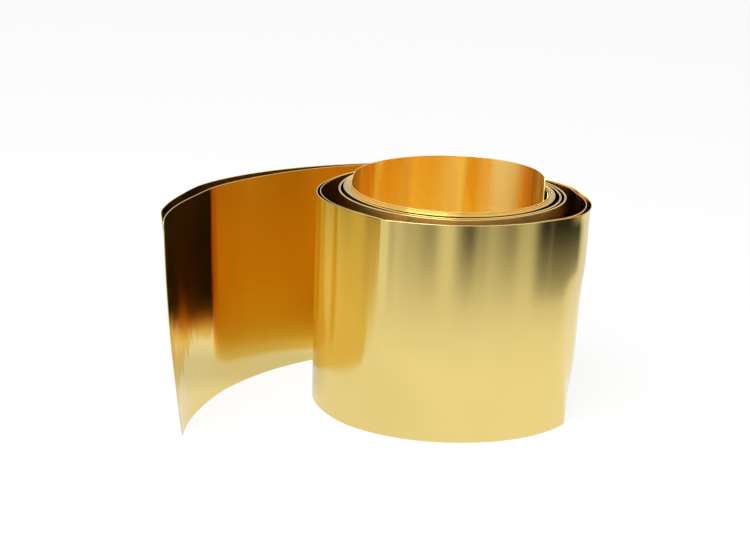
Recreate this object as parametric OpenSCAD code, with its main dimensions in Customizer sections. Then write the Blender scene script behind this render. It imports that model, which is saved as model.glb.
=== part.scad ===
// A roll of thin brass strip, standing on its edge with its outer end let out.
// The strip lies double in the roll: an inner layer and an outer layer run side by side.
// Origin: on the axis of the eye, at the level that the roll stands on. X right, Y back, Z up.

/* [Strip] */
// Width of the strip, which is the height of the roll
strip_w = 100; // [50:1:200]
// Thickness of the strip
strip_t = 0.3; // [0.2:0.05:0.3]
// Clear width between two layers that lie together
layer_gap = 0.2; // [0.15:0.05:0.25]

/* [Tight turns] */
// Diameter of the eye
eye_d = 90.4; // [89.6:0.1:91]
// Number of layers wound tight round the eye
tight_layers = 8; // [7:1:8]
// Distance from one tight layer to the next
tight_pitch = 0.55; // [0.5:0.01:0.56]
// Depth of the grooves that part the tight layers on both ends
groove_depth = 0.6; // [0.2:0.1:1.5]
// How far the inner tight layers stand up over the outer ones
tight_rise = 1.3; // [0.5:0.1:2.5]
// How far the innermost layer stands up at its free end on the right
lift_right = 6.9; // [4:0.1:9]
// How far the innermost layer stands up on the left
lift_left = 4.3; // [3:0.1:6]
// How steeply the innermost layer comes up on the left, as rise over run
lift_slope = 0.29; // [0.2:0.01:0.4]

/* [First loose turn] */
// Reach of the turn in front of the axis
first_front = 52; // [51.5:0.1:52.5]
// Pull of its curve towards the left
first_pull_left = 27; // [24:0.5:29]
// Pull of its curve across the front
first_pull_front = 27; // [24:0.5:29]
// Pull of its curve towards the right
first_pull_right = 50; // [46:0.5:51]
// Angle behind the X axis at which it comes back to the tight turns on the right
first_join = 28; // [26:0.5:32]

/* [Second loose turn] */
// Reach of the turn in front of the axis
second_front = 54.4; // [54:0.1:57]
// Pull of its curve towards the left
second_pull_left = 47.8; // [45:0.1:50]
// Pull of its curve across the front
second_pull_front = 28.7; // [26:0.1:31]
// Pull of its curve towards the right
second_pull_right = 59.4; // [58:0.1:62]
// Angle behind the X axis at which it comes back on the right
second_join = 38; // [36:0.5:40]
// Angle behind the X axis at which it leaves the roll on the left
second_leave = 158; // [156:0.5:160]

/* [Wide turn] */
// Reach of the turn in front of the axis
wide_front = 63.2; // [60:0.1:68]
// Pull of its curve towards the left
wide_pull_left = 70.4; // [66:0.1:76]
// Pull of its curve across the front
wide_pull_front = 51.7; // [47:0.1:56]
// Pull of its curve towards the right
wide_pull_right = 73.1; // [68:0.1:78]
// Angle behind the X axis at which it comes back on the right
wide_join = 44.5; // [42:0.5:46]
// Angle behind the X axis at which it leaves the roll on the left
wide_leave = 131; // [128:0.5:134]
// Further pull of the outer layer's curve, which parts the two layers at the sides
wide_part = 2.9; // [1:0.1:4]

/* [Let-out end] */
// Reach of the let-out end to the left of the axis
tail_left = 121.3; // [110:0.1:150]
// How far in front of the axis the let-out end stops
tail_front = 76.7; // [60:0.1:90]
// Pull of its curve where it leaves the roll
tail_pull = 71.4; // [60:0.1:80]
// Pull of its curve at its end
tail_end_pull = 51; // [40:0.1:60]
// How far its end turns back in towards the roll
tail_toe = 7.8; // [0:0.1:12]
// How far the outer layer stands off at the left
tail_part = 3.3; // [1.5:0.1:6]
// Pull of the outer layer's curve where it leaves the roll
tail_outer_pull = 60.8; // [55:0.1:65]
// Pull of the outer layer's curve at its end
tail_outer_end_pull = 64.5; // [60:0.1:70]
// How much shorter the outer layer is
tail_step = 17; // [5:0.5:25]

/* [Hidden] */
$fn = 180;
layer_pitch = strip_t + layer_gap;
half_t = strip_t / 2;
eye_r = eye_d / 2;
tight_r = eye_r + (tight_layers - 1) * tight_pitch + strip_t;
// Radii at the back of the roll, where the inner layer of each turn lies close on the turn inside it
first_start = tight_r - layer_pitch;
first_back = tight_r + layer_gap + half_t;
second_back = first_back + 2 * layer_pitch;
wide_back = second_back + 2 * layer_pitch;
// Where the loose layers come out of the tight turns, and where the let-out end leaves the back
first_leave = 180;
tail_leave = 92.5;
// Direction in which the innermost layer comes up steeply on the left, and where it starts
lift_turn = 60;
lift_start = 1 - eye_r / 2;
curve_steps = 20;
wrap_step = 6;

// Point of a circle about the axis
function on_circle(radius, angle) = radius * [cos(angle), sin(angle)];

// Heading of the strip where it runs along such a circle
function heading(angle) = [-sin(angle), cos(angle)];

// Points and headings along a cubic curve through four control points, without its first point
function curve(p) = [
  for (i = [1:curve_steps])
    let (
      u = i / curve_steps,
      v = 1 - u,
      d = v * v * (p[1] - p[0]) + 2 * u * v * (p[2] - p[1]) + u * u * (p[3] - p[2])
    )
    [v * v * v * p[0] + 3 * u * v * v * p[1] + 3 * u * u * v * p[2] + u * u * u * p[3], d / norm(d)]
];

// Points and headings along a circle, without its first point
function wrap(radius, from, to) =
  let (count = ceil((to - from) / wrap_step))
  [
    for (i = [1:count])
      let (angle = from + (to - from) * i / count)
      [on_circle(radius, angle), heading(angle)]
  ];

// A loose turn: off the roll on the left, through the front, and back to the roll on the right
function turn(from_r, leave, pull_left, pull_front, front, pull_right, join, to_r) =
  let (
    start = on_circle(from_r, leave),
    middle = [0, -front],
    end = on_circle(to_r, join)
  )
  concat(
    curve([start, start + pull_left * heading(leave), middle - [pull_front, 0], middle]),
    curve([middle, middle + [pull_front, 0], end - pull_right * heading(join), end])
  );

// The let-out end: off the back of the roll, to the left and forward
function let_out_end(from_r, pull, left, stop, end_pull, toe) =
  let (
    start = on_circle(from_r, tail_leave),
    end = [-left, -stop]
  )
  curve([start, start + pull * heading(tail_leave), end + [-toe, end_pull], end]);

// Plan of a layer from the tight turns to the let-out end. The outer layer has longer pulls in the
// wide turn and lies farther out at the back, by the given amounts.
function layer(part, back_part) =
  concat(
    [[on_circle(first_start, first_leave), heading(first_leave)]],
    turn(first_start, first_leave, first_pull_left, first_pull_front, first_front,
      first_pull_right, first_join, first_back),
    wrap(first_back, first_join, second_leave),
    turn(first_back, second_leave, second_pull_left, second_pull_front, second_front,
      second_pull_right, second_join, second_back),
    wrap(second_back, second_join, wide_leave),
    turn(second_back, wide_leave, wide_pull_left + part, wide_pull_front, wide_front,
      wide_pull_right + part, wide_join, wide_back + back_part),
    wrap(wide_back + back_part, wide_join, tail_leave)
  );

// Strip that stands on its edge along a plan, or beside it by the given distance outward
module strip(path, shift) {
  outer = [for (q = path) q[0] + (shift + half_t) * [q[1].y, -q[1].x]];
  inner = [for (i = [len(path) - 1:-1:0]) path[i][0] + (shift - half_t) * [path[i][1].y, -path[i][1].x]];
  linear_extrude(height = strip_w)
    polygon(concat(outer, inner));
}

// Section of the tight turns: each layer stands up a little over the one outside it, and the two
// outermost lie close, where the loose layers come out of them
module tight_section() {
  for (i = [0:tight_layers - 3])
    translate([eye_r + i * tight_pitch, 0])
      square([strip_t, strip_w + tight_rise * (1 - i / (tight_layers - 2))]);
  translate([eye_r + (tight_layers - 2) * tight_pitch, 0])
    square([tight_pitch + strip_t, strip_w]);
  translate([eye_r + half_t, groove_depth])
    square([(tight_layers - 1) * tight_pitch, strip_w - 2 * groove_depth]);
}

// All that lies under a slope through two points, down to a level
module under_slope(turned, from, to, level) {
  rotate([0, 0, turned])
    rotate([90, 0, 0])
      linear_extrude(height = 4 * eye_r, center = true)
        polygon([[from.x, level], from, to, [to.x, level]]);
}

// What the innermost layer stands up by over a level, round the back from its free end on the right
module lifted_edge(level, inner_r, outer_r, start) {
  foot = level - groove_depth;
  intersection() {
    rotate_extrude(angle = first_leave)
      translate([inner_r, foot])
        square([outer_r - inner_r, lift_right + 2 * groove_depth]);
    under_slope(0, [-2 * eye_r, level + lift_left - (lift_right - lift_left) / 2],
      [2 * eye_r, level + lift_right + (lift_right - lift_left) / 2], foot - 1);
    under_slope(lift_turn, [lift_start - (start + groove_depth) / lift_slope, foot],
      [2 * eye_r, level + start + lift_slope * (2 * eye_r - lift_start)], foot - 1);
  }
}

// The tight turns, whose innermost layer stands up over the others and off the floor
module tight_turns() {
  difference() {
    rotate_extrude()
      tight_section();
    lifted_edge(0, eye_r - strip_t, eye_r + tight_pitch, 0);
  }
  lifted_edge(strip_w, eye_r, eye_r + strip_t, tight_rise);
}

module coil() {
  color("gold") {
    tight_turns();
    strip(concat(
      layer(0, 0),
      let_out_end(wide_back, tail_pull, tail_left, tail_front, tail_end_pull, tail_toe)
    ), 0);
    strip(concat(
      layer(wide_part, layer_pitch),
      let_out_end(wide_back + layer_pitch, tail_outer_pull, tail_left + tail_part,
        tail_front - tail_step, tail_outer_end_pull, 0)
    ), layer_pitch);
  }
}

coil();
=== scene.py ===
"""Brass coil: a roll of thin bright brass strip that stands on its edge, its outer end let out."""

import math
from collections import namedtuple

import bpy
from mathutils import Matrix, Vector, noise


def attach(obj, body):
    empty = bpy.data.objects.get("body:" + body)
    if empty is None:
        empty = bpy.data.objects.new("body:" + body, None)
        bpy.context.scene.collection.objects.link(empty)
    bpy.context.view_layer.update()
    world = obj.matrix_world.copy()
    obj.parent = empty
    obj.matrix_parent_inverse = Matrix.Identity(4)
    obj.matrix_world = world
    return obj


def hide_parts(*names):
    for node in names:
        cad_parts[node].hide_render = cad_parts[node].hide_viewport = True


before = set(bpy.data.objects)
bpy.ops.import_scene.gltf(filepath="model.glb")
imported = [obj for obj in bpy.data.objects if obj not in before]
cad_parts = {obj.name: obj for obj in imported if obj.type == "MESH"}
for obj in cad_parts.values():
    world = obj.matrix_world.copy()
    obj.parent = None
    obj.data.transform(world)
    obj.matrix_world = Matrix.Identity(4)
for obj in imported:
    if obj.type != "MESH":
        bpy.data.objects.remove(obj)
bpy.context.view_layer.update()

# Strip, in metres as everything here
MM = 0.001
STRIP_W = 100 * MM
STRIP_T = 0.3 * MM
LAYER_PITCH = 0.5 * MM

# Rounded slit edges: radius, angles of the points on a corner, and how far from its corners the
# outermost rows of points on a face lie
EDGE_ROUND = 0.07 * MM
EDGE_ANGLES = (30, 60)
EDGE_ROW = 0.4 * MM

# Distance between two points of a plan, and rows of points between those outermost ones
STEP = 1.0 * MM
TIGHT_ROWS = [k / 8 for k in range(8)] + [0.94, 1.0]
LOOSE_ROWS = [k / 16 for k in range(16)] + [0.955, 0.97, 0.985, 1.0]

# Tight turns round the eye, whose inner layers stand up, the innermost most of all
EYE_R = 45.2 * MM
TIGHT_R = 49.35 * MM
TIGHT_TURNS = 3.5
TIGHT_LENGTH = TIGHT_TURNS * math.tau * TIGHT_R
TIGHT_RISE = 1.3 * MM
TIGHT_RISE_LENGTH = TIGHT_TURNS * math.tau * EYE_R
LIFT_RIGHT = 6.9 * MM
LIFT_LEFT = 4.3 * MM

# The innermost layer comes up on the left: rise over run, direction in degrees, and start
LIFT_SLOPE = 0.29
LIFT_TURN = 60
LIFT_START = -22.6 * MM

# The innermost layer's free end springs in, over this much of its length
SPRING_IN = 1.4 * MM
SPRING_REACH = 16 * MM

# Barrel of the tight turns: how far the innermost stands out at half its height, in mm by angle.
# The outer layer lags behind the inner one by this share.
BARREL = ((-180, 0.9), (-90, 0.95), (0, 0.3), (18, 0.3), (28, 0.45), (38, 0.9), (45, 1.2),
          (51, 1.2), (56.5, 1.2), (62, 1.15), (68, 0.6), (74, 0.7), (78.5, 1.2), (83, 1.2),
          (88, 0.85), (93, 1.15), (98.5, 0.85), (104, 0.95), (109, 1.1), (114, 1.1), (120, 0.6),
          (126, 0.5), (133, 0.5), (140, 1.2), (149, 0.7), (158, 0.7), (180, 0.9))
BARREL_LAG = 0.5 / TIGHT_TURNS

# Radii of the centre line where the loose turns start, and where they lie close at the back
FIRST_START = TIGHT_R - LAYER_PITCH
FIRST_BACK = TIGHT_R + LAYER_PITCH - STRIP_T / 2
SECOND_BACK = FIRST_BACK + 2 * LAYER_PITCH
WIDE_BACK = SECOND_BACK + 2 * LAYER_PITCH

# Loose turns: angle where each leaves the roll on the left, pulls of its curve to the left, across
# the front and to the right, reach in front of the axis, and angle where it comes back
Turn = namedtuple("Turn", "leave pull_left pull_front pull_right front join")
FIRST = Turn(180, 27 * MM, 27 * MM, 50 * MM, 52 * MM, 28)
SECOND = Turn(158, 47.8 * MM, 28.7 * MM, 59.4 * MM, 54.4 * MM, 38)
WIDE = Turn(131, 70.4 * MM, 51.7 * MM, 73.1 * MM, 63.2 * MM, 44.5)

# Further pulls of the wide turn's outer layer, which part its two layers at the sides
WIDE_PART = 2.9 * MM

# Let-out end of each layer: pull where it leaves the roll, reaches to the left and to the front,
# pull at its end, and how far its end turns back in
LetOut = namedtuple("LetOut", "pull left front end_pull toe")
TAIL_LEAVE = 92.5
TAIL_INNER = LetOut(71.4 * MM, 121.3 * MM, 76.7 * MM, 51 * MM, 7.8 * MM)
TAIL_OUTER = LetOut(60.8 * MM, 124.6 * MM, 59.7 * MM, 64.5 * MM, 0)

# Let-out end: its lower edge leans in, its side bellies, and its layers close up downward, each
# over this much of its length
TAIL_LEAN = 6.85 * MM
TAIL_BELLY = 1.37 * MM
TAIL_LEAN_REACH = 70 * MM
TAIL_CLOSE_REACH = 45 * MM

# How much the cut end of the inner and of the outer layer slants, and how far back that tells
TAIL_CUT = (9.6 * MM, 30 * MM)
TAIL_CUT_REACH = (40 * MM, 80 * MM)

# A soft kink in the let-out end: how far it stands out, in mm by the distance back from the end,
# and the share of it that is left at the lower edge
TAIL_KINK = ((34, 0), (38, 0), (42, 0.03), (45, 0.1), (49, 0.3), (53, 0.64), (57, 1.1), (59, 1.34),
             (61, 1.55), (64, 1.74), (68, 1.82), (74, 1.74), (82, 1.5), (95, 1.05), (108, 0.66),
             (122, 0.28), (136, 0.05), (146, 0))
TAIL_KINK_LOW = 0.3

# Wide turn: how far it stands off its plain curve outward, in mm by X, at its lower edge and, from
# this share of its height up, at its upper edge
UPPER_FROM = 0.4
WIDE_TOP = ((-62, 0), (-56.8, -0.4), (-52, -0.5), (-47, -0.42), (-42.5, -0.25), (-39.5, 0.03),
            (-36.6, 0.5), (-34, 1.03), (-31.6, 1.66), (-29.6, 2.26), (-28.7, 2.38), (-27.3, 2.2),
            (-24.5, 1.7), (-19.2, 1.25), (-12, 0.85), (-4, 0.4), (4, 0), (12, -0.3), (20, -0.8),
            (28, -1.15), (36.4, -1.55), (42, -1.6), (46, -1.15), (51, -0.4), (56, -0.1), (64, 0))
WIDE_LOW = ((-62, -0.35), (-57, -0.7), (-53, -0.6), (-48, -0.2), (-43, 0), (40, 0), (46, 0),
            (52, 0.2), (57, 0.3), (64, -1.5))

# Its right side, which starts between these X in mm at the lower and at the upper edge, leans by
# share of its height, in mm outward
SIDE_LOW = (56, 62)
SIDE_TOP = (50, 58)
SIDE_LEAN = ((0, -2.9), (0.1, -2.9), (0.2, -1.8), (0.3, -1.3), (0.45, -1.1), (0.6, -0.9),
             (0.72, 0), (1, 0))

# Its outer layer's rim flares on that side from this share of its height, and its upper edge
# stands off at the back right
RIM_FROM = 0.95
RIM_FLARE = 0.7 * MM
BACK_RIGHT = 1.9 * MM

# Y in mm between which all this comes in: none at the first, in full at the second
LEFT_IN = (30, 0)
RIGHT_IN = (40, 26)
LEAN_IN = (28, 12)
BACK_RIGHT_IN = ((0, 12), (40, 22))

# Faint upright waves: height and length in mm, and what each adds to the seed of its noise
WAVES = ((0.05, 26, 0), (0.016, 9, 5), (0.005, 4, 9))
WAVE_NOISE_Z = 0.37
TIGHT_SEED = 3.1
LOOSE_SEED = 11.7
OUTER_SEED = 0.5
TIGHT_WAVE = 0.2

# Brass: colour by a cloudy pattern, and tarnish over it between these distances along the strip
TONES = ((0.3, (0.972, 0.768, 0.28)), (0.7, (0.988, 0.785, 0.305)))
TARNISH = (0.925, 0.905, 0.855, 1)
TARNISHED = (0.25, 1.0)

# Patterns, in features to a metre along the strip and up it
LINES_SCALE = (9, 900, 1)
CLOUDS_SCALE = (38, 22, 1)
CREASES_SCALE = (170, 26, 1)
CREASES_TURN = 0.3

# Distance along the strip at which the loose turns start
LOOSE_FROM = 1.04

# Roughness by the distance in mm from the free end in the eye: brighter and duller bands
BANDS = ((0, 0.16), (14, 0.2), (23, 0.16), (29, 0.24), (35.6, 0.46), (41, 0.48), (46, 0.36),
         (50, 0.2), (54, 0.18), (57, 0.1), (60, 0.1), (62, 0.2), (68, 0.24), (72, 0.2), (78, 0.15),
         (84, 0.15), (90, 0.19), (94, 0.19), (97, 0.1), (105, 0.1), (108.5, 0.19), (111, 0.19),
         (114, 0.11), (150, 0.11))

# What the rolling lines add to it, as a factor and a start, and how deep they are
LINES_ROUGH = (0.06, -0.02)
LINES_STRENGTH = 0.12
LINES_DEPTH = 0.02 * MM

# Duller where the second loose turn runs across the front: it comes in and goes out between these
DULL_IN = (LOOSE_FROM + 0.335, LOOSE_FROM + 0.375)
DULL_OUT = (LOOSE_FROM + 0.485, LOOSE_FROM + 0.445)
DULL_ROUGH = 0.15

# Creased at the free lower corner: where the creases come in along the strip and down it
CREASED_ALONG = (LOOSE_FROM + 1.075, LOOSE_FROM + 1.1)
CREASED_DOWN = (55 * MM, 30 * MM)
CREASES_DEPTH = 0.2 * MM

# Pale floor: its size, its grey, and the share of its look that is plain white and not lit
FLOOR_SIZE = 8
FLOOR_GREY = (0.93, 0.93, 0.93, 1)
FLOOR_GLOW = 0.85

# How bright the floor shows in the metal, as painted shade and painted light that only mirror rays
# see: near the roll, beyond a radius with its blur in mm (painted shade on the far floor), and
# where painted shade lies between the let-out end and the roll or painted light lies in the eye:
# place, radius and blur in mm, and brightness
FLOOR_IN_METAL = 0.93
FLOOR_FAR_PAINTED_SHADE = (200, 60, 0.78)
FLOOR_PAINTED_SHADE_AND_LIGHT = (((-85, -60), 75, 30, 0.87), ((-76, 12), 27, 14, 0.73), ((0, 0), 46.2, 1, 1.0))

# Painted reflections: a backdrop that only mirrors see, which stands for the dim room beyond the
# sheet, in front and on the right, and paints dark and light streaks in the metal: the angles
# about the axis that it spans, and how bright it is at the floor and at the fade's height over it.
# Then its darker and lighter areas, each laid over those before: from one angle to another, and
# how bright
ROOM_SPAN = (205, 395)
ROOM_OPEN = (0.85, 0.76)
ROOM_PAINTED_STREAKS = ((244, 388, 0.73, 0.47), (256, 268, 0.73, 0.31), (268, 279, 0.76, 0.68),
              (279, 289, 0.65, 0.08), (289, 297, 0.69, 0.3), (303, 315, 0.69, 0.25),
              (329, 380, 0.39, 0.01))
ROOM_BLUR = 5
ROOM_TINT = (1, 1, 0.95, 1)
ROOM_R = 255 * MM
ROOM_H = 120 * MM
ROOM_FADE = 40 * MM
ROOM_STEPS = 100

# Light: strength of the world, and place, target, size and power of the soft box above
WORLD_LIGHT = 0.7
BOX_AT = (-0.3, -0.5, 0.9)
BOX_TARGET = (0, 0, 0.05)
BOX_SIZE = 0.7
BOX_POWER = 9

# Camera, fitted to the photograph's rims: place, pitch, roll and focal length in pixels
CAMERA_AT = (-33.17 * MM, -616.12 * MM, 253.30 * MM)
CAMERA_PITCH = math.radians(17.73)
CAMERA_ROLL = math.radians(2.33)
FOCAL_PX = 1358.25
FRAME_PX = 750
SENSOR = 36

# Mirror rays go dark after this many bounces, as they do in the narrow gaps of the real roll
GLOSSY_BOUNCES = 8
MAX_BOUNCES = 24


def knots(table, x):
    """Smooth curve through a table of places and values."""
    if x <= table[0][0] or x >= table[-1][0]:
        return table[0][1] if x <= table[0][0] else table[-1][1]
    k = next(i for i in range(len(table) - 1) if x <= table[i + 1][0])
    (x0, y0), (x1, y1) = table[k], table[k + 1]
    slopes = [0.0, 0.0]
    for j, i in enumerate((k, k + 1)):
        if 0 < i < len(table) - 1:
            rise, run = table[i + 1][1] - table[i - 1][1], table[i + 1][0] - table[i - 1][0]
            slopes[j] = rise / run
    u, w = (x - x0) / (x1 - x0), x1 - x0
    return ((2 * u ** 3 - 3 * u * u + 1) * y0 + (u ** 3 - 2 * u * u + u) * w * slopes[0]
            + (3 * u * u - 2 * u ** 3) * y1 + (u ** 3 - u * u) * w * slopes[1])


def ease(x, low, high):
    """0 on the low side, 1 on the high side, smooth between."""
    u = min(1.0, max(0.0, (x - low) / (high - low)))
    return u * u * (3 - 2 * u)


def on_circle(radius, angle):
    """Point of a circle about the axis, angle in degrees from +X."""
    a = math.radians(angle)
    return radius * Vector((math.cos(a), math.sin(a)))


def heading(angle):
    """Heading of the strip where it runs along such a circle."""
    a = math.radians(angle)
    return Vector((-math.sin(a), math.cos(a)))


def curve(p0, p1, p2, p3):
    """Points along a cubic curve, without its first point."""
    length = ((p1 - p0).length + (p2 - p1).length + (p3 - p2).length + (p3 - p0).length) / 2
    count = round(length / STEP)
    out = []
    for i in range(1, count + 1):
        u = i / count
        v = 1 - u
        out.append(v ** 3 * p0 + 3 * u * v * v * p1 + 3 * u * u * v * p2 + u ** 3 * p3)
    return out


def wrap(radius, start, end):
    """Points along a circle about the axis, without its first point."""
    count = round(math.radians(end - start) * radius / STEP)
    return [on_circle(radius, start + (end - start) * i / count) for i in range(1, count + 1)]


def turn(start_r, plan, end_r, part=0.0):
    """A loose turn: off the roll on the left, through the front, and back to it on the right."""
    start, middle = on_circle(start_r, plan.leave), Vector((0, -plan.front))
    end = on_circle(end_r, plan.join)
    across = Vector((plan.pull_front, 0))
    off = start + (plan.pull_left + part) * heading(plan.leave)
    back = end - (plan.pull_right + part) * heading(plan.join)
    return curve(start, off, middle - across, middle) + curve(middle, middle + across, back, end)


def let_out(start_r, plan):
    """The let-out end: off the back of the roll, to the left and forward."""
    start, end = on_circle(start_r, TAIL_LEAVE), Vector((-plan.left, -plan.front))
    off = start + plan.pull * heading(TAIL_LEAVE)
    return curve(start, off, end + Vector((-plan.toe, plan.end_pull)), end)


def tight_path(outer):
    """The tight turns of one layer, from the inner end at the right to the left."""
    inner_r = EYE_R + STRIP_T / 2 + (LAYER_PITCH if outer else 0)
    outer_r = FIRST_START + (LAYER_PITCH if outer else 0)
    count = round(TIGHT_LENGTH / STEP)
    return [on_circle(inner_r + (outer_r - inner_r) * i / count, 360 * TIGHT_TURNS * i / count)
            for i in range(count + 1)]


def loose_path(outer):
    """Plan of one layer outside the tight turns, and which of its points its wide turn and its
    let-out end start at."""
    end_r = WIDE_BACK + (LAYER_PITCH if outer else 0.0)
    points = [on_circle(FIRST_START, FIRST.leave)]
    points += turn(FIRST_START, FIRST, FIRST_BACK)
    points += wrap(FIRST_BACK, FIRST.join, SECOND.leave)
    points += turn(FIRST_BACK, SECOND, SECOND_BACK)
    points += wrap(SECOND_BACK, SECOND.join, WIDE.leave)
    wide = len(points)
    points += turn(SECOND_BACK, WIDE, end_r, WIDE_PART if outer else 0.0)
    tail = len(points)
    points += wrap(end_r, WIDE.join, TAIL_LEAVE)
    points += let_out(end_r, TAIL_OUTER if outer else TAIL_INNER)
    if outer:
        points = [p + LAYER_PITCH * n for p, n in zip(points, normals_of(points))]
    return points, wide, tail


def normals_of(points):
    """Outward normals of a plan."""
    last = len(points) - 1
    tangents = [(points[min(i + 1, last)] - points[max(i - 1, 0)]).normalized()
                for i in range(last + 1)]
    return [Vector((t.y, -t.x)) for t in tangents]


def distances(points):
    """Distances of the points of a plan along it."""
    along = [0.0]
    for a, b in zip(points, points[1:]):
        along.append(along[-1] + (b - a).length)
    return along


def waviness(s, seed):
    """How far the strip strays across its plan at a distance along it."""
    return MM * sum(high * noise.noise(Vector((s / (long * MM), seed + more, WAVE_NOISE_Z)))
                    for high, long, more in WAVES)


def tight_lift(p, s):
    """How far the tight layers stand off the floor: less outward, and most over the back."""
    rise = TIGHT_RISE * max(0.0, 1 - s / TIGHT_RISE_LENGTH)
    if s > math.pi * EYE_R:
        return rise
    gentle = (LIFT_LEFT + LIFT_RIGHT) / 2 + (LIFT_RIGHT - LIFT_LEFT) * p.x / (2 * EYE_R)
    steep = TIGHT_RISE + LIFT_SLOPE * (p.dot(on_circle(1, LIFT_TURN)) - LIFT_START)
    return max(rise, min(gentle, steep))


def tight_warp(outer):
    """How far a tight layer stands off its circle: in at its free end, out at half its height."""
    def warp(k, p, s, h):
        bulge = MM * knots(BARREL, math.degrees(math.atan2(p.y, p.x))) * 4 * h * (1 - h)
        spring = 0.0 if outer else SPRING_IN * math.exp(-(s / SPRING_REACH) ** 2)
        left = 1 - s / TIGHT_LENGTH - (BARREL_LAG if outer else 0)
        return max(0.0, left) * bulge - spring

    return warp


def wide_warp(p, h, outer):
    """How far the wide turn stands off its plain curve outward, at a share of its height."""
    x, y = p.x / MM, p.y / MM
    upper = ease(h, 0, UPPER_FROM)
    off = MM * (upper * knots(WIDE_TOP, x) + (1 - upper) * knots(WIDE_LOW, x))
    if p.x < 0:
        return ease(y, *LEFT_IN) * off
    if p.x > 0:
        side = ease(x, *(low + (top - low) * upper for low, top in zip(SIDE_LOW, SIDE_TOP)))
        off = (1 - side) * off + side * MM * knots(SIDE_LEAN, h) * ease(y, *LEAN_IN)
        if outer:
            off += side * RIM_FLARE * max(0.0, (h - RIM_FROM) / (1 - RIM_FROM)) ** 2
        off += BACK_RIGHT * h * ease(y, *BACK_RIGHT_IN[0]) * ease(y, *BACK_RIGHT_IN[1])
    return off * ease(y, *RIGHT_IN)


def tail_lean(back, h):
    """How far the let-out end leans in at a distance back from its end."""
    lean = TAIL_LEAN * (1 - h) - TAIL_BELLY * math.sin(math.pi * h)
    return lean * math.exp(-(back / TAIL_LEAN_REACH) ** 2)


def loose_warp(outer, path, wide, tail, inner_tail):
    """How far a loose layer stands off its plan. Both layers of the let-out end go by the distance
    back from the inner one's end, at its point nearest to them."""
    lefts = distances(inner_tail[::-1])[::-1]
    nearest = {}

    def warp(k, p, s, h):
        if k < wide:
            return 0.0
        if k < tail:
            return wide_warp(p, h, outer)
        if k not in nearest:
            gaps = [(path[k] - q).length for q in inner_tail]
            best = min(range(len(gaps)), key=gaps.__getitem__)
            nearest[k] = (gaps[best], lefts[best])
        gap, left = nearest[k]
        share = TAIL_KINK_LOW + (1 - TAIL_KINK_LOW) * ease(h, 0, UPPER_FROM)
        off = share * MM * knots(TAIL_KINK, left / MM) - tail_lean(left, h)
        if outer:
            closed = (1 - h) * math.exp(-(left / TAIL_CLOSE_REACH) ** 2)
            off -= max(0.0, gap - LAYER_PITCH) * closed
        return off

    return warp


def section(rows):
    """Points round the strip, across its thickness and up its width, from the lower outer side."""
    half = STRIP_T / 2
    margin = EDGE_ROUND + EDGE_ROW
    heights = [EDGE_ROUND] + [margin + (STRIP_W - 2 * margin) * k for k in rows]
    heights.append(STRIP_W - EDGE_ROUND)
    corner = [(EDGE_ROUND * (1 - math.cos(a)), EDGE_ROUND * (1 - math.sin(a)))
              for a in map(math.radians, EDGE_ANGLES)]
    corner.append((EDGE_ROUND, 0.0))
    return ([(half, z) for z in heights]
            + [(half - x, STRIP_W - z) for x, z in corner]
            + [(x - half, STRIP_W - z) for x, z in reversed(corner)]
            + [(-half, z) for z in reversed(heights)]
            + [(x - half, z) for x, z in corner]
            + [(half - x, z) for x, z in reversed(corner)])


def ribbon(name, points, rows, seed, warp, wave=1.0, start=0.0, lift=None, cut=0.0, reach=1.0):
    """A strip that stands on its edge along a plan, with UVs in metres along it and up it."""
    normals = normals_of(points)
    along = distances(points)
    last = len(points) - 1
    ring = section(rows)
    verts = []
    places = []
    for i, here in enumerate(points):
        z0 = lift(here, along[i]) if lift else 0.0
        near_end = max(0.0, 1 - (along[-1] - along[i]) / reach) ** 2
        for across, z in ring:
            h = z / STRIP_W
            s = along[i] - cut * (1 - h) * near_end
            k = i
            while k > 0 and along[k] > s:
                k -= 1
            j = min(k + 1, last)
            u = 0.0 if k == last else (s - along[k]) / (along[j] - along[k])
            p = points[k].lerp(points[j], u)
            n = normals[k].lerp(normals[j], u)
            off = across + wave * waviness(s, seed) + warp(k, p, s, h)
            verts.append((p.x + off * n.x, p.y + off * n.y, z + z0))
            places.append((start + s, z))
    return mesh_object(name, verts, tube_faces(len(points), len(ring)), "strip", places)


def tube_faces(count, width):
    """Faces of a closed tube: rings of a number of points each, and a cap at both ends."""
    faces = []
    for i in range(count - 1):
        for k in range(width):
            m = (k + 1) % width
            faces.append((i * width + k, (i + 1) * width + k, (i + 1) * width + m, i * width + m))
    faces.append(tuple(range(width)))
    faces.append(tuple(range(count * width - 1, (count - 1) * width - 1, -1)))
    return faces


def mesh_object(name, verts, faces, uv_name, places):
    """An object of the scene from points and faces, with a UV place for each point."""
    mesh = bpy.data.meshes.new(name)
    mesh.from_pydata(verts, [], faces)
    uv = mesh.uv_layers.new(name=uv_name)
    for loop in mesh.loops:
        uv.data[loop.index].uv = places[loop.vertex_index]
    return put_in_scene(name, mesh)


def put_in_scene(name, data):
    """A new object of the scene with this data."""
    obj = bpy.data.objects.new(name, data)
    bpy.context.scene.collection.objects.link(obj)
    return obj


def fill(made, sockets):
    """Sets a node's sockets, and links those whose value is another node's output."""
    for key, value in sockets.items():
        if isinstance(value, bpy.types.NodeSocket):
            made.id_data.links.new(value, made.inputs[key])
        else:
            made.inputs[key].default_value = value


def node(tree, kind, sockets=None, **settings):
    """A new node with its settings and sockets."""
    made = tree.nodes.new(kind)
    for key, value in settings.items():
        setattr(made, key, value)
    fill(made, sockets or {})
    return made


def math_node(tree, operation, *values):
    """Result of a Math node on outputs or numbers."""
    made = node(tree, "ShaderNodeMath", dict(enumerate(values)), operation=operation)
    return made.outputs["Value"]


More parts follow.
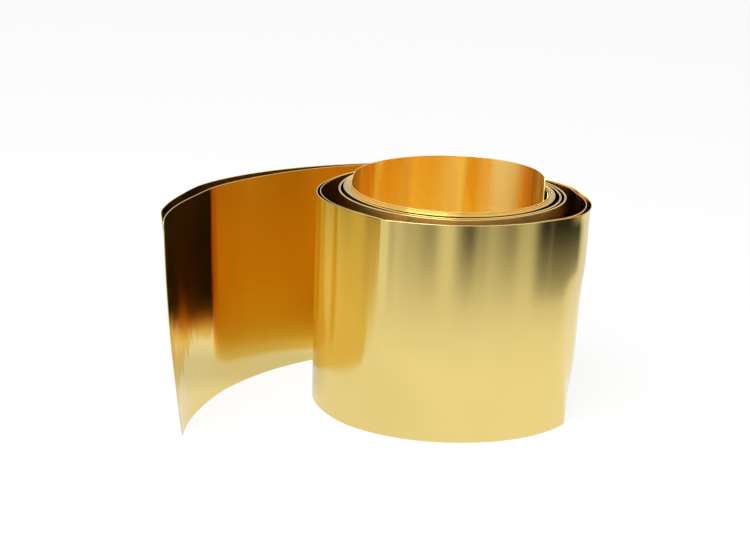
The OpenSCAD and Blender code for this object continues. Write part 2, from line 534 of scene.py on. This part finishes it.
def slope(tree, value, low, high):
    """0 on the low side, 1 on the high side, smooth between."""
    ends = {"From Min": min(low, high), "From Max": max(low, high),
            "To Min": 0 if low < high else 1, "To Max": 1 if low < high else 0}
    made = node(tree, "ShaderNodeMapRange", {"Value": value, **ends},
                interpolation_type="SMOOTHSTEP")
    return made.outputs["Result"]


def ramp(tree, value, stops):
    """Colour by a value, through stops with a place and a colour each."""
    made = node(tree, "ShaderNodeValToRGB", {"Fac": value})
    elements = made.color_ramp.elements
    for i, (place, colour) in enumerate(stops):
        stop = elements[i] if i < 2 else elements.new(place)
        stop.position = place
        stop.color = (*colour, 1)
    return made.outputs["Color"]


def pattern(tree, uv, scale, turned=0.0, **looks):
    """Noise stretched along the strip."""
    at = node(tree, "ShaderNodeMapping",
              {"Vector": uv, "Rotation": (0, 0, turned), "Scale": scale})
    made = node(tree, "ShaderNodeTexNoise",
                {"Vector": at.outputs["Vector"], "Scale": 1.0, **looks})
    return made.outputs["Fac"]


def new_material(name):
    """A material, its node tree and its shader."""
    material = bpy.data.materials.new(name)
    material.use_nodes = True
    tree = material.node_tree
    return material, tree, tree.nodes["Principled BSDF"]


def brass():
    """Bright rolled brass: rolling lines along the strip, brighter and duller bands in the eye,
    a deeper colour on the outer turns, and creases at the free lower corner."""
    material, tree, shader = new_material("bright_rolled_brass")
    uv = node(tree, "ShaderNodeUVMap", uv_map="strip").outputs["UV"]
    tangent = node(tree, "ShaderNodeTangent", direction_type="UV_MAP", uv_map="strip")
    split = node(tree, "ShaderNodeSeparateXYZ", {"Vector": uv})
    along, up = split.outputs["X"], split.outputs["Y"]
    lines = pattern(tree, uv, LINES_SCALE, Detail=6.0, Roughness=0.65)
    clouds = pattern(tree, uv, CLOUDS_SCALE, Detail=4.0, Roughness=0.6)
    creases = pattern(tree, uv, CREASES_SCALE, CREASES_TURN,
                      Detail=2.0, Roughness=0.5, Distortion=0.6)

    # Mix node, whose colour sockets are known by number only: 6 and 7 in, 2 out
    colour = node(tree, "ShaderNodeMix",
                  {0: slope(tree, along, *TARNISHED), 6: ramp(tree, clouds, TONES), 7: TARNISH},
                  data_type="RGBA", blend_type="MULTIPLY")

    length = BANDS[-1][0]
    stops = [(place / length, (value, value, value)) for place, value in BANDS]
    bands = ramp(tree, math_node(tree, "DIVIDE", along, length * MM), stops)
    rough = math_node(tree, "ADD", bands, math_node(tree, "MULTIPLY_ADD", lines, *LINES_ROUGH))
    dull = math_node(tree, "MULTIPLY", slope(tree, along, *DULL_IN), slope(tree, along, *DULL_OUT))
    rough = math_node(tree, "MULTIPLY_ADD", dull, DULL_ROUGH, rough)

    corner = math_node(tree, "MULTIPLY", slope(tree, along, *CREASED_ALONG),
                       slope(tree, up, *CREASED_DOWN))
    fine = node(tree, "ShaderNodeBump",
                {"Strength": LINES_STRENGTH, "Distance": LINES_DEPTH, "Height": lines})
    creased = node(tree, "ShaderNodeBump",
                   {"Strength": 1.0, "Distance": CREASES_DEPTH, "Normal": fine.outputs["Normal"],
                    "Height": math_node(tree, "MULTIPLY", creases, corner)})

    fill(shader, {"Metallic": 1.0, "Anisotropic": 0.8, "Anisotropic Rotation": 0.25,
                  "Tangent": tangent.outputs["Tangent"], "Base Color": colour.outputs[2],
                  "Roughness": rough, "Normal": creased.outputs["Normal"]})
    return material


def build_strip():
    """Both layers of the strip, tight and loose turns together, in place of the CAD solid."""
    material = brass()
    path, _, tail = loose_path(False)
    inner_tail = path[tail:]
    for label, outer in (("inner", False), ("outer", True)):
        seed = OUTER_SEED if outer else 0.0
        tight = ribbon(f"{label}_layer_tight_turns", tight_path(outer), TIGHT_ROWS,
                       TIGHT_SEED + seed, tight_warp(outer), wave=TIGHT_WAVE,
                       lift=None if outer else tight_lift)
        path, wide, tail = loose_path(outer)
        loose = ribbon(f"{label}_layer_loose_turns", path, LOOSE_ROWS,
                       LOOSE_SEED + seed, loose_warp(outer, path, wide, tail, inner_tail),
                       start=LOOSE_FROM, cut=TAIL_CUT[outer], reach=TAIL_CUT_REACH[outer])
        for piece in (tight, loose):
            piece.data.shade_smooth()
            piece.data.update()
            piece.data.materials.append(material)
            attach(piece, "root")
            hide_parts("coil")


def near(tree, place, radius, blur):
    """1 at a place of the floor in mm, 0 beyond a radius round it, smooth between."""
    here = node(tree, "ShaderNodeNewGeometry")
    apart = node(tree, "ShaderNodeVectorMath",
                 {0: here.outputs["Position"], 1: (place[0] * MM, place[1] * MM, 0)},
                 operation="DISTANCE")
    return slope(tree, apart.outputs["Value"], (radius + blur) * MM, (radius - blur) * MM)


def ray_kinds(tree):
    """1 for a camera ray, and 1 for a mirror or glass ray."""
    path = node(tree, "ShaderNodeLightPath").outputs
    mirrored = math_node(tree, "MAXIMUM", path["Is Glossy Ray"], path["Is Transmission Ray"])
    return path["Is Camera Ray"], mirrored


def white_floor():
    """A pale floor: white to the eye, with a faint shadow. In the metal it shows a little darker,
    with painted shade far off and between the let-out end and the roll, and painted light in the
    eye.
    """
    material, tree, shader = new_material("pale_floor")
    fill(shader, {"Base Color": FLOOR_GREY, "Roughness": 0.9, "Specular IOR Level": 0.1})
    seen, mirrored = ray_kinds(tree)
    share = math_node(tree, "MULTIPLY_ADD", seen, FLOOR_GLOW, mirrored)
    # Floor tone that only mirror rays see: painted shade beyond a radius from the roll, then
    # painted shade between the let-out end and the roll and painted light in the eye
    radius, blur, far_bright = FLOOR_FAR_PAINTED_SHADE
    tone = math_node(tree, "MULTIPLY_ADD", near(tree, (0, 0), radius, blur),
                     FLOOR_IN_METAL - far_bright, far_bright)
    for place, radius, blur, bright in FLOOR_PAINTED_SHADE_AND_LIGHT:
        change = math_node(tree, "SUBTRACT", bright, tone)
        tone = math_node(tree, "MULTIPLY_ADD", near(tree, place, radius, blur), change, tone)
    lower = math_node(tree, "SUBTRACT", tone, 1.0)
    glow = node(tree, "ShaderNodeEmission",
                {"Strength": math_node(tree, "MULTIPLY_ADD", lower, mirrored, 1.0)})
    mix = node(tree, "ShaderNodeMixShader",
               {0: share, 1: shader.outputs["BSDF"], 2: glow.outputs["Emission"]})
    fill(tree.nodes["Material Output"], {"Surface": mix.outputs["Shader"]})
    return material


def room_material():
    """The backdrop's own light, by angle and height: painted reflections, dark and light streaks
    that only mirrors see.
    """
    material, tree, shader = new_material("painted_reflection_room")
    tree.nodes.remove(shader)
    uv = node(tree, "ShaderNodeUVMap", uv_map="round").outputs["UV"]
    split = node(tree, "ShaderNodeSeparateXYZ", {"Vector": uv})
    first, last = ROOM_SPAN
    angle = math_node(tree, "MULTIPLY_ADD", split.outputs["X"], last - first, first)
    up = math_node(tree, "MULTIPLY", split.outputs["Y"], ROOM_H / ROOM_FADE)
    up = math_node(tree, "MINIMUM", up, 1.0)

    def bright(low, high):
        return math_node(tree, "MULTIPLY_ADD", up, high - low, low)

    tone = bright(*ROOM_OPEN)
    # Painted dark and light streaks for the metal to reflect
    for start, end, low, high in ROOM_PAINTED_STREAKS:
        inside = math_node(tree, "MULTIPLY",
                           slope(tree, angle, start - ROOM_BLUR, start + ROOM_BLUR),
                           slope(tree, angle, end + ROOM_BLUR, end - ROOM_BLUR))
        change = math_node(tree, "SUBTRACT", bright(low, high), tone)
        tone = math_node(tree, "MULTIPLY_ADD", inside, change, tone)
    glow = node(tree, "ShaderNodeEmission", {"Color": ROOM_TINT, "Strength": tone})
    fill(tree.nodes["Material Output"], {"Surface": glow.outputs["Emission"]})
    return material


def build_room():
    """Painted reflections of a dim room beyond the white sheet: a curved backdrop that only
    mirrors see.
    """
    first, last = ROOM_SPAN
    verts = []
    places = []
    for i in range(ROOM_STEPS + 1):
        p = on_circle(ROOM_R, first + (last - first) * i / ROOM_STEPS)
        verts += [(p.x, p.y, 0.0), (p.x, p.y, ROOM_H)]
        places += [(i / ROOM_STEPS, 0), (i / ROOM_STEPS, 1)]
    faces = [(2 * i, 2 * i + 2, 2 * i + 3, 2 * i + 1) for i in range(ROOM_STEPS)]
    room = mesh_object("painted_reflection_backdrop", verts, faces, "round", places)
    room.data.materials.append(room_material())
    room.visible_camera = False
    room.visible_diffuse = False
    room.visible_shadow = False
    room.visible_transmission = False
    return room


def build_floor():
    """The floor that the roll stands on."""
    bpy.ops.mesh.primitive_plane_add(size=FLOOR_SIZE)
    floor = bpy.context.object
    floor.name = "floor"
    floor.data.materials.append(white_floor())
    return floor


def build_world():
    """Soft light all round, plain white where it is seen."""
    world = bpy.data.worlds.new("studio")
    bpy.context.scene.world = world
    world.use_nodes = True
    tree = world.node_tree
    seen = math_node(tree, "MAXIMUM", *ray_kinds(tree))
    strength = node(tree, "ShaderNodeMapRange",
                    {"Value": seen, "To Min": WORLD_LIGHT, "To Max": 1.0})
    fill(tree.nodes["Background"],
         {"Color": (1, 1, 1, 1), "Strength": strength.outputs["Result"]})


def build_lamp():
    """A soft box above."""
    data = bpy.data.lights.new("soft_box_above", "AREA")
    data.size = BOX_SIZE
    data.energy = BOX_POWER
    lamp = put_in_scene("soft_box_above", data)
    lamp.location = BOX_AT
    direction = Vector(BOX_TARGET) - Vector(BOX_AT)
    lamp.rotation_euler = direction.to_track_quat("-Z", "Y").to_euler()


def build_camera():
    """The camera of the photograph."""
    data = bpy.data.cameras.new("camera")
    data.sensor_width = SENSOR
    data.lens = FOCAL_PX / FRAME_PX * SENSOR
    camera = put_in_scene("camera", data)
    sine, cosine = math.sin(CAMERA_PITCH), math.cos(CAMERA_PITCH)
    level_right, level_up = Vector((1, 0, 0)), Vector((0, sine, cosine))
    back = Vector((0, -cosine, sine))
    right = math.cos(CAMERA_ROLL) * level_right + math.sin(CAMERA_ROLL) * level_up
    up = math.cos(CAMERA_ROLL) * level_up - math.sin(CAMERA_ROLL) * level_right
    turned = Matrix((right, up, back)).transposed()
    camera.matrix_world = Matrix.Translation(CAMERA_AT) @ turned.to_4x4()
    bpy.context.scene.camera = camera


build_strip()
build_floor()
build_room()
build_world()
build_lamp()
build_camera()

scene = bpy.context.scene
scene.view_settings.view_transform = "Standard"
scene.cycles.max_bounces = MAX_BOUNCES
scene.cycles.glossy_bounces = GLOSSY_BOUNCES
